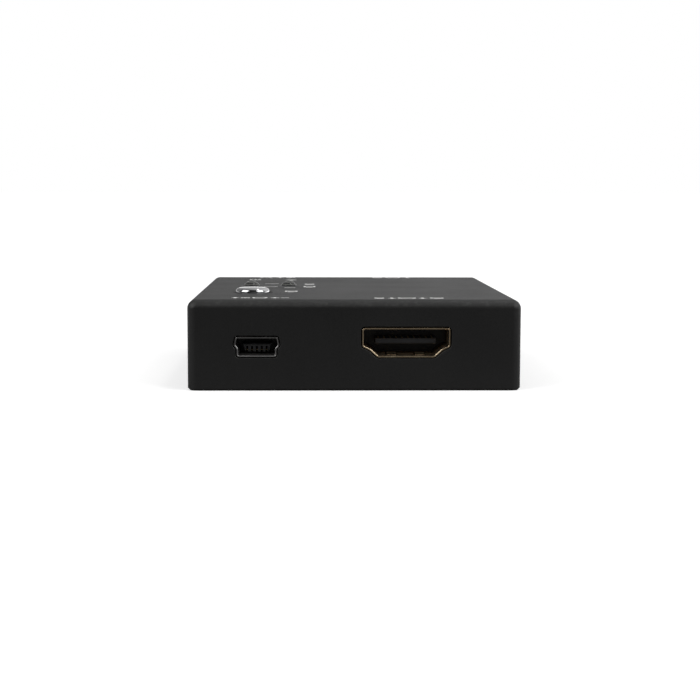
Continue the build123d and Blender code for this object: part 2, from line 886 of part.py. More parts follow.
# Receiver chip: flat package without leads, straight behind the input socket
receiver_y = half_depth - display_length - receiver_clear - foot_length - receiver_width / 2
save(
    chip(display_input_x, receiver_y, (receiver_width, receiver_width), receiver_thickness, 0),
    "receiver_chip",
)

# Memory, program chip and crystal: a column between the scaler and the right wall
memory_x = scaler_x + scaler_edge + memory_clear + memory_size[0] / 2
save(chip(memory_x, scaler_y, memory_size, memory_thickness, 0), "memory_chip")
flash_y = scaler_y + memory_size[1] / 2 + flash_clear + flash_size[1] / 2
save(chip(memory_x, flash_y, flash_size, flash_thickness, chip_lift), "program_chip")
save(
    lead_rows(
        memory_x,
        flash_y,
        flash_size[0],
        2,
        flash_lead_count,
        small_lead_spacing,
        small_lead_width,
        flash_thickness,
    ),
    "program_chip_leads",
)
with BuildPart() as crystal:
    crystal_y = flash_y + flash_size[1] / 2 + crystal_clear + crystal_size[1] / 2
    with BuildSketch(Plane.XY.offset(board_top)):
        with Locations((memory_x, crystal_y)):
            SlotOverall(crystal_size[1], crystal_size[0], rotation=90)
    extrude(amount=crystal_flange)
    with BuildSketch(Plane.XY.offset(board_top + crystal_flange)):
        with Locations((memory_x, crystal_y)):
            SlotOverall(
                crystal_size[1] - 2 * crystal_rim, crystal_size[0] - 2 * crystal_rim, rotation=90
            )
    extrude(amount=crystal_height - crystal_flange)
save(crystal.part, "crystal")

# Audio chip, midway between the lamps and the receiver chip
lamp_side = lamp_x[1] + lamp_flange_radius
receiver_side = display_input_x - receiver_width / 2
codec_x = (lamp_side + receiver_side) / 2
codec_y = half_depth - codec_rear
save(chip(codec_x, codec_y, codec_size, codec_thickness, chip_lift), "audio_chip")
save(
    lead_rows(
        codec_x,
        codec_y,
        codec_size[0],
        2,
        codec_lead_count,
        small_lead_spacing,
        small_lead_width,
        codec_thickness,
    ),
    "audio_chip_leads",
)

# Regulator midway between the front sockets: three leads on one side, a wide tab on the other
power_side = power_x + power_wing_width / 2
display_side = display_output_x - display_width / 2
regulator_x = (power_side + display_side) / 2
regulator_y = regulator_front - half_depth
save(
    chip(regulator_x, regulator_y, regulator_size, regulator_thickness, chip_lift),
    "regulator",
)
with BuildPart() as regulator_leads:
    for count, width, start in ((3, regulator_lead_width, 0), (1, regulator_tab_width, 180)):
        add(
            lead_rows(
                regulator_x,
                regulator_y,
                regulator_size[0],
                1,
                count,
                regulator_lead_spacing,
                width,
                regulator_thickness,
                start,
            )
        )
save(regulator_leads.part, "regulator_leads")

# Inductors: ferrite blocks with cut corners and a round dip, midway between switch and scaler
switch_side = button_x + switch_width / 2 + strip_thickness
column_x = (switch_side + scaler_x - scaler_edge) / 2
with BuildPart() as inductors:
    places = [(column_x, front - half_depth) for front in inductor_fronts]
    with BuildSketch(Plane.XY.offset(board_top)) as blocks:
        with Locations(*places):
            Rectangle(inductor_width, inductor_width)
        chamfer(blocks.vertices(), inductor_corner)
    extrude(amount=inductor_height)
    with BuildSketch(Plane.XY.offset(board_top + inductor_height)):
        with Locations(*places):
            Circle(inductor_core)
    extrude(amount=-inductor_dip, mode=Mode.SUBTRACT)
save(inductors.part, "inductors")

# Bulk capacitors: round cans on square bases, one behind the inductors and one by the left wall
with BuildPart() as bulk_capacitors:
    columns = (column_x, can_left - half_width)
    places = [(x, front - half_depth) for x, front in zip(columns, can_fronts)]
    with BuildSketch(Plane.XY.offset(board_top)):
        with Locations(*places):
            Rectangle(2 * (can_radius + can_margin), 2 * (can_radius + can_margin))
    extrude(amount=can_base)
    with BuildSketch(Plane.XY.offset(board_top + can_base)):
        with Locations(*places):
            Circle(can_radius)
    extrude(amount=can_height - can_base)
save(bulk_capacitors.part, "bulk_capacitors")

# Ceramic capacitors: two rows, in front of and behind the scaler chip
with BuildPart() as ceramic_capacitors:
    row_spread = 2 * (scaler_edge + ceramic_clear)
    with BuildSketch(Plane.XY.offset(board_top)):
        with Locations((scaler_x, scaler_y)):
            with GridLocations(ceramic_spacing, row_spread, ceramic_count, 2):
                Rectangle(*ceramic_size)
    extrude(amount=ceramic_height)
save(ceramic_capacitors.part, "ceramic_capacitors")
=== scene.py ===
import math

import bmesh
import bpy
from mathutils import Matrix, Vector


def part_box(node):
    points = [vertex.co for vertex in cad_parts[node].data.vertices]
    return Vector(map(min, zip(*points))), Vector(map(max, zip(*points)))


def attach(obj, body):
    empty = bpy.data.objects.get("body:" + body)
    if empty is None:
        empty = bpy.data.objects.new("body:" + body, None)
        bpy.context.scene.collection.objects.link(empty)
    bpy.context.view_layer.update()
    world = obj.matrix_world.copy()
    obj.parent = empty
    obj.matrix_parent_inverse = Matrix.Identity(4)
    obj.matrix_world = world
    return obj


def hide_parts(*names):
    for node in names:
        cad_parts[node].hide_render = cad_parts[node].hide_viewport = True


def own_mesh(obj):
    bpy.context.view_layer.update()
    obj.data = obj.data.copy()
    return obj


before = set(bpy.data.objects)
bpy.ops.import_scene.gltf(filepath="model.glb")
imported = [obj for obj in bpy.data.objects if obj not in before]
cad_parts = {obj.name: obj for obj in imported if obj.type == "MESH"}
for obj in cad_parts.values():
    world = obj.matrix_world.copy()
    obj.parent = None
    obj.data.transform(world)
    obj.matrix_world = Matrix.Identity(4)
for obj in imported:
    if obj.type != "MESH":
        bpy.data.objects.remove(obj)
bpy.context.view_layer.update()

# Base plate: black moulded ABS, let into the cover's rim and held by two screws from below. Its
# outer edges are broken by a small radius, which shows as the parting line round the foot. The
# grain of its spark-eroded mould is built here once and used by every finish with its own size.
surface_grain = bpy.data.node_groups.new("surface grain", "ShaderNodeTree")
socket = surface_grain.interface.new_socket
socket("Place", in_out="INPUT", socket_type="NodeSocketVector")
socket("Tooth Scale", in_out="INPUT", socket_type="NodeSocketFloat")
socket("Cloud Scale", in_out="INPUT", socket_type="NodeSocketFloat")
socket("Tooth", in_out="OUTPUT", socket_type="NodeSocketFloat")
socket("Cloud", in_out="OUTPUT", socket_type="NodeSocketFloat")
group_in = surface_grain.nodes.new("NodeGroupInput")
group_out = surface_grain.nodes.new("NodeGroupOutput")
for texture_name, scale_name, detail in (
    ("Tooth", "Tooth Scale", 3.0),
    ("Cloud", "Cloud Scale", 2.0),
):
    noise = surface_grain.nodes.new("ShaderNodeTexNoise")
    noise.inputs["Detail"].default_value = detail
    noise.inputs["Roughness"].default_value = 0.6
    surface_grain.links.new(group_in.outputs["Place"], noise.inputs["Vector"])
    surface_grain.links.new(group_in.outputs[scale_name], noise.inputs["Scale"])
    surface_grain.links.new(noise.outputs["Fac"], group_out.inputs[texture_name])


def feed(tree, value, entry):
    """Links a value to an entry of a node, or sets it there when it is a plain number or colour."""
    if isinstance(value, bpy.types.NodeSocket):
        tree.links.new(value, entry)
    else:
        entry.default_value = value


def blended(tree, mask, under, over, kind="FLOAT"):
    """Goes from one number or colour to another as the mask goes from nought to one."""
    node = tree.nodes.new("ShaderNodeMix")
    node.data_type = kind
    feed(tree, mask, node.inputs["Factor"])
    feed(tree, under, node.inputs["A"])
    feed(tree, over, node.inputs["B"])
    return node.outputs["Result"]


def graded(tree, value, start, end, low=0.0, high=1.0, curve="LINEAR"):
    """Goes from low to high while a value goes from start to end, and no further."""
    node = tree.nodes.new("ShaderNodeMapRange")
    node.interpolation_type = curve
    node.inputs["From Min"].default_value = start
    node.inputs["From Max"].default_value = end
    node.inputs["To Min"].default_value = low
    node.inputs["To Max"].default_value = high
    tree.links.new(value, node.inputs["Value"])
    return node.outputs["Result"]


def grained_finish(
    name, dark, light, gloss, tooth, relief, metallic=0.0, cloud=0.012, stretch=(1, 1, 1)
):
    """Material whose colour, roughness and relief follow a grain of the given sizes in metres."""
    material = bpy.data.materials.new(name)
    material.use_nodes = True
    tree = material.node_tree
    shader = tree.nodes["Principled BSDF"]
    shader.inputs["Metallic"].default_value = metallic
    place = tree.nodes.new("ShaderNodeTexCoord")
    stretched = tree.nodes.new("ShaderNodeMapping")
    stretched.inputs["Scale"].default_value = stretch
    grain = tree.nodes.new("ShaderNodeGroup")
    grain.node_tree = surface_grain
    grain.inputs["Tooth Scale"].default_value = 1 / tooth
    grain.inputs["Cloud Scale"].default_value = 1 / cloud
    clouds = grain.outputs["Cloud"]
    colour = blended(tree, clouds, (*dark, 1), (*light, 1), "RGBA")
    roughness = graded(tree, clouds, start=0.3, end=0.7, low=gloss[0], high=gloss[1])
    bump = tree.nodes.new("ShaderNodeBump")
    bump.inputs["Strength"].default_value = 1.0
    bump.inputs["Distance"].default_value = relief
    tree.links.new(place.outputs["Object"], stretched.inputs["Vector"])
    tree.links.new(stretched.outputs["Vector"], grain.inputs["Place"])
    tree.links.new(grain.outputs["Tooth"], bump.inputs["Height"])
    tree.links.new(colour, shader.inputs["Base Color"])
    tree.links.new(roughness, shader.inputs["Roughness"])
    tree.links.new(bump.outputs["Normal"], shader.inputs["Normal"])
    return material


def coat(piece, material):
    """Gives a piece this material and no other."""
    piece.data.materials.clear()
    piece.data.materials.append(material)


sharp_angle = math.radians(35)
flat_angle = math.radians(0.5)


def edged_copy(node, name, width, steps, near=None):
    """Copy of a solid with its facets joined into whole faces and its sharp edges rounded."""
    bpy.ops.object.select_all(action="DESELECT")
    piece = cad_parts[node].copy()
    piece.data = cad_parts[node].data.copy()
    for key in list(piece.keys()):
        del piece[key]
    piece.name = name
    piece.parent = None
    bpy.context.scene.collection.objects.link(piece)
    piece.select_set(True)
    bpy.context.view_layer.objects.active = piece
    bpy.ops.object.mode_set(mode="EDIT")
    bpy.ops.mesh.select_all(action="SELECT")
    bpy.ops.mesh.remove_doubles(threshold=1e-6)
    bpy.ops.mesh.dissolve_limited(angle_limit=flat_angle)
    bpy.ops.mesh.select_all(action="DESELECT")
    mesh = bmesh.from_edit_mesh(piece.data)
    for edge in mesh.edges:
        sharp = len(edge.link_faces) == 2 and edge.calc_face_angle(0) > sharp_angle
        middle = (edge.verts[0].co + edge.verts[1].co) / 2
        edge.select_set(sharp and (near is None or near(middle)))
    bmesh.update_edit_mesh(piece.data)
    bpy.ops.mesh.bevel(
        offset=width, segments=steps, profile=0.5, affect="EDGES", clamp_overlap=False
    )
    bpy.ops.object.mode_set(mode="OBJECT")
    bpy.ops.object.shade_smooth_by_angle(angle=sharp_angle)
    even = piece.modifiers.new("even normals", "WEIGHTED_NORMAL")
    even.keep_sharp = True
    bpy.ops.object.modifier_apply(modifier=even.name)
    return piece


base_plastic = grained_finish(
    "base plate plastic",
    dark=(0.009, 0.009, 0.0095),
    light=(0.012, 0.012, 0.0125),
    gloss=(0.52, 0.57),
    tooth=0.00022,
    relief=0.000025,
)
base_plate = edged_copy("base_plate", "base_plate_moulding", width=0.00012, steps=2)
coat(base_plate, base_plastic)
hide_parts("base_plate")
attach(base_plate, "housing")

# Main board: glass-epoxy laminate with green solder mask over etched copper tracks. The tracks
# show as slightly lighter lanes under the mask.
board_mask = grained_finish(
    "board solder mask",
    dark=(0.008, 0.06, 0.022),
    light=(0.012, 0.085, 0.03),
    gloss=(0.22, 0.34),
    tooth=0.0006,
    relief=0.000008,
)


def laid_over(material, channel, mask, value):
    """Lays a plain value over what feeds a channel of a finish, as far as the mask is white."""
    tree = material.node_tree
    entry = tree.nodes["Principled BSDF"].inputs[channel]
    kind = "RGBA" if channel == "Base Color" else "FLOAT"
    tree.links.new(blended(tree, mask, entry.links[0].from_socket, value, kind), entry)


track_green = (0.02, 0.15, 0.05, 1)
tree = board_mask.node_tree
lanes = tree.nodes.new("ShaderNodeTexBrick")
lanes.offset = 0.5
lanes.inputs["Color1"].default_value = (0, 0, 0, 1)
lanes.inputs["Color2"].default_value = (0.25, 0.25, 0.25, 1)
lanes.inputs["Mortar"].default_value = (1, 1, 1, 1)
lanes.inputs["Scale"].default_value = 160
lanes.inputs["Mortar Size"].default_value = 0.035
lanes.inputs["Brick Width"].default_value = 0.9
lanes.inputs["Row Height"].default_value = 0.16
tree.links.new(tree.nodes["Texture Coordinate"].outputs["Object"], lanes.inputs["Vector"])
laid_over(board_mask, "Base Color", lanes.outputs["Color"], track_green)
coat(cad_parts["main_board"], board_mask)

# Chips: transfer-moulded epoxy packages, dull black with a faint grey cast from the mould
# release, and soldered to the board.
chip_epoxy = grained_finish(
    "chip epoxy",
    dark=(0.013, 0.013, 0.014),
    light=(0.024, 0.024, 0.025),
    gloss=(0.48, 0.66),
    tooth=0.00012,
    relief=0.000012,
    cloud=0.004,
)
for node in (
    "scaler_chip",
    "receiver_chip",
    "memory_chip",
    "program_chip",
    "audio_chip",
    "regulator",
):
    coat(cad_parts[node], chip_epoxy)

# Leads, terminals and the switch's sheet cover: copper alloy tinned by dipping, soft grey with
# slow variation in gloss.
tinned_metal = grained_finish(
    "tinned metal",
    dark=(0.5, 0.5, 0.49),
    light=(0.66, 0.66, 0.67),
    gloss=(0.26, 0.44),
    tooth=0.0003,
    relief=0.000006,
    metallic=1.0,
    cloud=0.002,
)
for node in (
    "scaler_chip_leads",
    "program_chip_leads",
    "audio_chip_leads",
    "regulator_leads",
    "switch_plate",
    "switch_terminals",
    "power_lamp_leads",
    "signal_lamp_leads",
):
    coat(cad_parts[node], tinned_metal)

# Crystal can and snap dome: drawn nickel silver and spring steel, brighter than the dipped leads.
# The dome is a four-legged sheet, which the plunger of the real switch presses flat.
spring_steel = grained_finish(
    "bright drawn metal",
    dark=(0.58, 0.57, 0.54),
    light=(0.7, 0.69, 0.66),
    gloss=(0.16, 0.28),
    tooth=0.0002,
    relief=0.000003,
    metallic=1.0,
)
coat(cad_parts["crystal"], spring_steel)
snap_spring = edged_copy("snap_dome", "snap_dome_spring", width=0.00002, steps=2)
coat(snap_spring, spring_steel)
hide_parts("snap_dome")
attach(snap_spring, "housing")
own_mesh(snap_spring)

# Inductors: pressed ferrite blocks with cut corners and a round dip on top, dark grey and
# slightly grainy.
ferrite = grained_finish(
    "pressed ferrite",
    dark=(0.04, 0.04, 0.043),
    light=(0.085, 0.085, 0.09),
    gloss=(0.5, 0.72),
    tooth=0.00018,
    relief=0.00003,
    cloud=0.001,
)
coat(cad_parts["inductors"], ferrite)

# Bulk capacitors: drawn aluminium cans on black bases. The die leaves fine lines along the can,
# so the grain is stretched along its axis.
can_metal = grained_finish(
    "drawn aluminium",
    dark=(0.56, 0.56, 0.57),
    light=(0.74, 0.74, 0.75),
    gloss=(0.22, 0.36),
    tooth=0.0003,
    relief=0.000004,
    metallic=1.0,
    cloud=0.002,
    stretch=(1, 1, 0.15),
)
can_base_height = 0.0009
can_base_margin = 0.00001
base_black = (0.012, 0.012, 0.012, 1)


def place_in(material):
    """X, Y and Z of a point on the piece, in metres, for its material."""
    tree = material.node_tree
    split = tree.nodes.new("ShaderNodeSeparateXYZ")
    tree.links.new(tree.nodes["Texture Coordinate"].outputs["Object"], split.inputs["Vector"])
    return split.outputs


def combined(tree, operation, first, second=None):
    """Arithmetic on one or two masks or numbers."""
    node = tree.nodes.new("ShaderNodeMath")
    node.operation = operation
    feed(tree, first, node.inputs[0])
    if second is not None:
        feed(tree, second, node.inputs[1])
    return node.outputs["Value"]


tree = can_metal.node_tree
base_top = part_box("bulk_capacitors")[0].z + can_base_height + can_base_margin
on_base = combined(tree, "LESS_THAN", place_in(can_metal)["Z"], base_top)
bare_metal = combined(tree, "SUBTRACT", 1.0, on_base)
laid_over(can_metal, "Base Color", on_base, base_black)
tree.links.new(bare_metal, tree.nodes["Principled BSDF"].inputs["Metallic"])
coat(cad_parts["bulk_capacitors"], can_metal)

# Ceramic capacitors: fired tan blocks in two rows, one on each side of the largest chip. Both
# ends of a block are dipped in tin and soldered to the board.
fired_ceramic = grained_finish(
    "fired ceramic",
    dark=(0.33, 0.24, 0.14),
    light=(0.45, 0.34, 0.21),
    gloss=(0.32, 0.5),
    tooth=0.0002,
    relief=0.000006,
    cloud=0.001,
)
block_length = 0.0016
tin_length = 0.0004
tin_white = (0.6, 0.6, 0.6, 1)
low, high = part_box("ceramic_capacitors")
rows_middle = (low.y + high.y) / 2
row_reach = (high.y - low.y - block_length) / 2
tree = fired_ceramic.node_tree
from_middle = combined(tree, "SUBTRACT", place_in(fired_ceramic)["Y"], rows_middle)
from_row = combined(tree, "SUBTRACT", combined(tree, "ABSOLUTE", from_middle), row_reach)
along_block = combined(tree, "ABSOLUTE", from_row)
on_end = combined(tree, "GREATER_THAN", along_block, block_length / 2 - tin_length)
laid_over(fired_ceramic, "Base Color", on_end, tin_white)
tree.links.new(on_end, tree.nodes["Principled BSDF"].inputs["Metallic"])
coat(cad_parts["ceramic_capacitors"], fired_ceramic)

# Display sockets: shells folded from gold-flashed sheet. Their inside is painted darker brown away
# from the mouth and up the walls, as painted shade. The sheared edge round the mouth is slightly
# rounded and catches the light.
gilt_sheet = grained_finish(
    "gold flashed sheet",
    dark=(0.78, 0.58, 0.37),
    light=(0.99, 0.84, 0.6),
    gloss=(0.14, 0.26),
    tooth=0.00016,
    relief=0.000006,
    metallic=1.0,
    cloud=0.002,
)
shell_edge = 0.00013
shell_edge_steps = 4
# Painted shade inside the sockets: the lip is left at the sheet's colour, and the walls shade from
# one share of their height up to full shade at the other
unshaded_lip = 0.0002
shade_start_share = 0.3
full_shade_share = 0.8
touching = 0.00001


def paint_shade_inside(material, low, high, fading, dull, rough, upper_wall_shade):
    """Painted shade in a socket between two corners: darker away from the lip and up the wall, and
    rougher away from the lip.
    """
    tree = material.node_tree
    place = place_in(material)
    mouth = max(abs(low.y), abs(high.y))
    height = high.z - low.z
    from_centre = combined(tree, "ABSOLUTE", place["Y"])
    inward = graded(tree, from_centre, start=mouth - unshaded_lip, end=mouth - fading)
    upward = graded(
        tree,
        place["Z"],
        start=low.z + height * shade_start_share,
        end=low.z + height * full_shade_share,
        high=upper_wall_shade,
    )
    laid_over(material, "Base Color", combined(tree, "MAXIMUM", inward, upward), (*dull, 1))
    laid_over(material, "Roughness", inward, rough)


# Painted shade: dark brown deep inside the display sockets and on their upper wall
paint_shade_inside(
    gilt_sheet,
    *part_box("output_socket_shell"),
    fading=0.005,
    dull=(0.34, 0.23, 0.13),
    rough=0.5,
    upper_wall_shade=0.35,
)
for name, side in (("output_socket", 0), ("input_socket", 1)):
    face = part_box(name + "_shell")[side].y
    shell = edged_copy(
        name + "_shell",
        name + "_folded_shell",
        width=shell_edge,
        steps=shell_edge_steps,
        near=lambda p: abs(p.y - face) < touching,
    )
    coat(shell, gilt_sheet)
    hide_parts(name + "_shell")
    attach(shell, "housing")

# Socket contacts and springs: phosphor bronze strip, stamped, formed and held in the socket
# blocks, gold plated where the plug wipes it.
# Painted shade: the gold is much darker than plated gold, since the contacts sit deep in the
# sockets
shaded_contact_gold = grained_finish(
    "plated contacts",
    dark=(0.34, 0.24, 0.11),
    light=(0.52, 0.4, 0.2),
    gloss=(0.3, 0.44),
    tooth=0.0001,
    relief=0.000003,
    metallic=1.0,
    cloud=0.002,
)
for node in (
    "output_socket_contacts",
    "input_socket_contacts",
    "power_socket_contacts",
    "audio_jack_springs",
):
    coat(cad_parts[node], shaded_contact_gold)

# Socket blocks, tongues, switch block, plunger and lamp spacers: glass-filled black plastic,
# smoother than the case and a little glossier.
block_plastic = grained_finish(
    "socket block plastic",
    dark=(0.01, 0.01, 0.011),
    light=(0.017, 0.017, 0.018),
    gloss=(0.34, 0.46),
    tooth=0.00015,
    relief=0.000012,
    cloud=0.003,
)
for node in (
    "output_socket_insulator",
    "input_socket_insulator",
    "power_socket_insulator",
    "switch_body",
    "switch_plunger",
    "power_lamp_spacer",
    "signal_lamp_spacer",
):
    coat(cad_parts[node], block_plastic)

# Power socket: a flared shell folded from nickel-plated steel, on four legs through the board.
# Its sheet is a little rougher than the display ones, and its inside is painted darker as painted
# shade.
nickel_sheet = grained_finish(
    "dull nickel sheet",
    dark=(0.72, 0.71, 0.7),
    light=(0.92, 0.91, 0.9),
    gloss=(0.18, 0.32),
    tooth=0.00014,
    relief=0.000004,
    metallic=1.0,
    cloud=0.002,
)
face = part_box("power_socket_shell")[0].y
power_shell = edged_copy(
    "power_socket_shell",
    "power_socket_folded_shell",
    width=shell_edge,
    steps=shell_edge_steps,
    near=lambda p: abs(p.y - face) < touching,
)
# Painted shade: dark grey deep inside the power socket and on its upper wall
paint_shade_inside(
    nickel_sheet,
    *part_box("power_socket_shell"),
    fading=0.006,
    dull=(0.2, 0.195, 0.185),
    rough=0.5,
    upper_wall_shade=0.8,
)
coat(power_shell, nickel_sheet)
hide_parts("power_socket_shell")
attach(power_shell, "housing")

# Audio socket: a moulded block whose round nose comes through the rear wall. Its rim is rounded
# to lead the plug in.
jack_body = edged_copy("audio_jack_body", "audio_socket_moulding", width=0.0001, steps=3)
coat(jack_body, block_plastic)
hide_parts("audio_jack_body")
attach(jack_body, "housing")

# Push button: a turned and chrome-plated cap with a low crown and a rounded rim, standing in a
# round well of the cover. Its flange stays behind the roof. The plating is bright with hair-fine
# handling marks.
case_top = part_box("top_cover")[1].z
cap_radius = 0.00295
crown_rise = 0.00015
edge_radius = 0.00074
cap_flange_height = 0.0008
flange_break = 0.0001


def turned_piece(name, centre, outline, steps):
    """Closed turned piece from an outline of radius and height points, from axis to axis."""
    mesh = bpy.data.meshes.new(name)
    points = [(centre.x + radius, centre.y, height) for radius, height in outline]
    mesh.from_pydata(points, [(i, i + 1) for i in range(len(points) - 1)], [])
    piece = bpy.data.objects.new(name, mesh)
    bpy.context.scene.collection.objects.link(piece)
    bpy.ops.object.select_all(action="DESELECT")
    piece.select_set(True)
    bpy.context.view_layer.objects.active = piece
    bpy.ops.object.mode_set(mode="EDIT")
    bpy.ops.mesh.select_all(action="SELECT")
    bpy.ops.mesh.spin(
        steps=steps,
        angle=math.tau,
        center=(centre.x, centre.y, 0),
        axis=(0, 0, 1),
        use_auto_merge=True,
    )
    bpy.ops.mesh.select_all(action="SELECT")
    bpy.ops.mesh.remove_doubles(threshold=1e-7)
    bpy.ops.mesh.normals_make_consistent(inside=False)
    bpy.ops.object.mode_set(mode="OBJECT")
    bpy.ops.object.shade_smooth_by_angle(angle=math.radians(40))
    return piece


def arc(middle, radius, start, end, steps):
    """Points of an arc in an outline, with its ends, angles in degrees from straight out."""
    turns = [math.radians(start + (end - start) * i / steps) for i in range(steps + 1)]
    return [(middle[0] + radius * math.cos(t), middle[1] + radius * math.sin(t)) for t in turns]


def flange_outline(foot, radius, top, neck):
    """First points of an outline: a flange with broken corners, as far as the neck above it."""
    inner = radius - flange_break
    points = [(0, foot), (inner, foot), (radius, foot + flange_break)]
    points += [(radius, top - flange_break), (inner, top), (neck, top)]
    return points


low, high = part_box("button_cap")
crown_radius = (cap_radius**2 + crown_rise**2) / (2 * crown_rise)
crown_middle = high.z - crown_radius
rim_reach = cap_radius - edge_radius
rim_height = crown_middle + math.sqrt((crown_radius - edge_radius) ** 2 - rim_reach**2)
rim_angle = math.degrees(math.atan2(rim_height - crown_middle, rim_reach))
cap_outline = flange_outline(
    low.z, (high.x - low.x) / 2, low.z + cap_flange_height, cap_radius
)
cap_outline += arc((rim_reach, rim_height), edge_radius, 0, rim_angle, steps=8)
cap_outline += arc((0, crown_middle), crown_radius, rim_angle, 90, steps=28)[1:]
cap_outline[-1] = (0, high.z)
button = turned_piece("button_cap_turning", (low + high) / 2, cap_outline, steps=128)
chrome = grained_finish(
    "bright chrome",
    dark=(0.6, 0.6, 0.61),
    light=(0.68, 0.68, 0.69),
    gloss=(0.05, 0.1),
    tooth=0.00025,
    relief=0.0000003,
    metallic=1.0,
    cloud=0.0015,
    stretch=(1, 0.12, 1),
)
coat(button, chrome)
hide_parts("button_cap")
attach(button, "button")

# Indicator lamps: lenses cast from smoke-tinted resin, with a domed top that stands out of the
# cover and a flange under the roof. Dark and pale rings are painted into the dome's colour by
# height, as painted light standing in for the small cup inside seen bent through the dome.
lens_resin = grained_finish(
    "smoke tinted resin",
    dark=(0.012, 0.013, 0.014),
    light=(0.026, 0.028, 0.03),
    gloss=(0.05, 0.1),
    tooth=0.0004,
    relief=0.000001,
    cloud=0.0012,
)
lens_radius = 0.0015
lens_top = case_top + 0.0008
dome_rise = 0.0009
lens_flange_height = 0.001
# Painted light: pale rings laid into the dome's colour at these heights
painted_ring_grey = (0.12, 0.12, 0.11, 1)
painted_ring_stops = (
    (0.0, 0.0),
    (0.16, 0.0),
    (0.2, 1.0),
    (0.34, 1.0),
    (0.38, 0.0),
    (0.64, 0.0),
    (0.68, 1.0),
    (0.8, 1.0),
    (0.84, 0.0),
    (1.0, 0.0),
)
tree = lens_resin.node_tree
tree.nodes["Principled BSDF"].inputs["Specular IOR Level"].default_value = 0.35
painted_rings = tree.nodes.new("ShaderNodeValToRGB")
while len(painted_rings.color_ramp.elements) < len(painted_ring_stops):
    painted_rings.color_ramp.elements.new(0.5)
for element, (height, pale) in zip(painted_rings.color_ramp.elements, painted_ring_stops):
    element.position = height
    element.color = (pale, pale, pale, 1)
up_the_dome = graded(tree, place_in(lens_resin)["Z"], start=case_top, end=lens_top)
tree.links.new(up_the_dome, painted_rings.inputs["Fac"])
laid_over(lens_resin, "Base Color", painted_rings.outputs["Color"], painted_ring_grey)
dome_radius = (lens_radius**2 + dome_rise**2) / (2 * dome_rise)
dome_angle = math.degrees(math.asin(1 - dome_rise / dome_radius))
for name in ("power_lamp", "signal_lamp"):
    low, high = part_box(name + "_lens")
    lens_outline = flange_outline(
        low.z, (high.x - low.x) / 2, low.z + lens_flange_height, lens_radius
    )
    lens_outline += arc((0, lens_top - dome_radius), dome_radius, dome_angle, 90, steps=20)
    lens_outline[-1] = (0, lens_top)
    lens = turned_piece(name + "_cast_lens", (low + high) / 2, lens_outline, steps=96)
    coat(lens, lens_resin)
    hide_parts(name + "_lens")
    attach(lens, "housing")

# Top cover: one black ABS moulding with a fine spark-eroded texture, 1.5 mm radii and rounded
# cut-outs. Its upward-facing radii are painted lighter grey, broken up by scuffs: painted sheen
# together with handling wear.
sheen_and_wear_grey = (0.035, 0.035, 0.034, 1)
low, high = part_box("top_cover")
cover = edged_copy(
    "top_cover",
    "cover_moulding",
    width=0.00008,
    steps=3,
    near=lambda p: p.z > high.z - touching or p.y < low.y + touching or p.y > high.y - touching,
)
cover_plastic = grained_finish(
    "cover plastic",
    dark=(0.0044, 0.0044, 0.0044),
    light=(0.0064, 0.0064, 0.0062),
    gloss=(0.48, 0.525),
    tooth=0.00028,
    relief=0.00004,
)
tree = cover_plastic.node_tree
tree.nodes["Principled BSDF"].inputs["Specular IOR Level"].default_value = 0.51
facing = tree.nodes.new("ShaderNodeSeparateXYZ")
tree.links.new(tree.nodes["Texture Coordinate"].outputs["Normal"], facing.inputs["Vector"])
across, along, upright = [
    combined(tree, "ABSOLUTE", facing.outputs[axis]) for axis in ("X", "Y", "Z")
]
flatness = combined(tree, "MAXIMUM", combined(tree, "MAXIMUM", across, along), upright)
roundness = graded(tree, flatness, start=0.995, end=0.9)
upward = graded(tree, facing.outputs["Z"], start=0.0, end=0.25)
scuffs = tree.nodes.new("ShaderNodeTexNoise")
scuffs.inputs["Scale"].default_value = 900
scuffs.inputs["Detail"].default_value = 6
scuffs.inputs["Roughness"].default_value = 0.7
tree.links.new(tree.nodes["Texture Coordinate"].outputs["Object"], scuffs.inputs["Vector"])
scuffed = graded(tree, scuffs.outputs["Fac"], start=0.5, end=0.72, low=0.4)
# Painted sheen: rounded edges that face up turn lighter grey, in a scuff pattern
upper_edge = combined(tree, "MULTIPLY", roundness, upward)
sheen_and_wear = combined(tree, "MULTIPLY", upper_edge, scuffed)
laid_over(cover_plastic, "Base Color", sheen_and_wear, sheen_and_wear_grey)
coat(cover, cover_plastic)
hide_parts("top_cover")
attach(cover, "housing")

# Printing on the cover: white ink, pad printed after moulding. Plain signs stand for the sockets,
# the button and the lamps: outlines of the sockets, arrows for in and out, a screen, headphones,
# a power ring and a signal sign.
ink = grained_finish(
    "white ink",
    dark=(0.66, 0.66, 0.64),
    light=(0.86, 0.86, 0.85),
    gloss=(0.45, 0.6),
    tooth=0.0002,
    relief=0.000004,
    cloud=0.0008,
)
ink_low = case_top - 0.000005
ink_thickness = 0.000025
ink_stroke = 0.00038
arc_steps = 24
millimetre = 0.001


def arc_band(outer, inner, start, end):
    """Outline of a flat arc between two radii, angles in degrees."""
    return arc((0, 0), outer, start, end, arc_steps) + arc((0, 0), inner, end, start, arc_steps)


# Outlines of the signs, one unit wide and deep
circle = arc((0, 0), 0.5, 0, 354, steps=59)
square = [(-0.5, -0.5), (0.5, -0.5), (0.5, 0.5), (-0.5, 0.5)]
rearward = [(-0.5, 0), (-0.17, 0), (-0.17, -0.5), (0.17, -0.5), (0.17, 0), (0.5, 0), (0, 0.5)]
forward = [(x, -y) for x, y in rearward]
cross = [(-0.5, -0.15), (-0.15, -0.15), (-0.15, -0.5), (0.15, -0.5), (0.15, -0.15), (0.5, -0.15)]
cross += [(-x, -y) for x, y in cross]
display_mouth = [(-0.5, 0.5), (-0.5, -0.1), (-0.3, -0.5), (0.3, -0.5), (0.5, -0.1), (0.5, 0.5)]
power_mouth = [(-0.45, 0.5), (-0.5, 0.1), (-0.36, -0.5), (0.36, -0.5), (0.5, 0.1), (0.45, 0.5)]
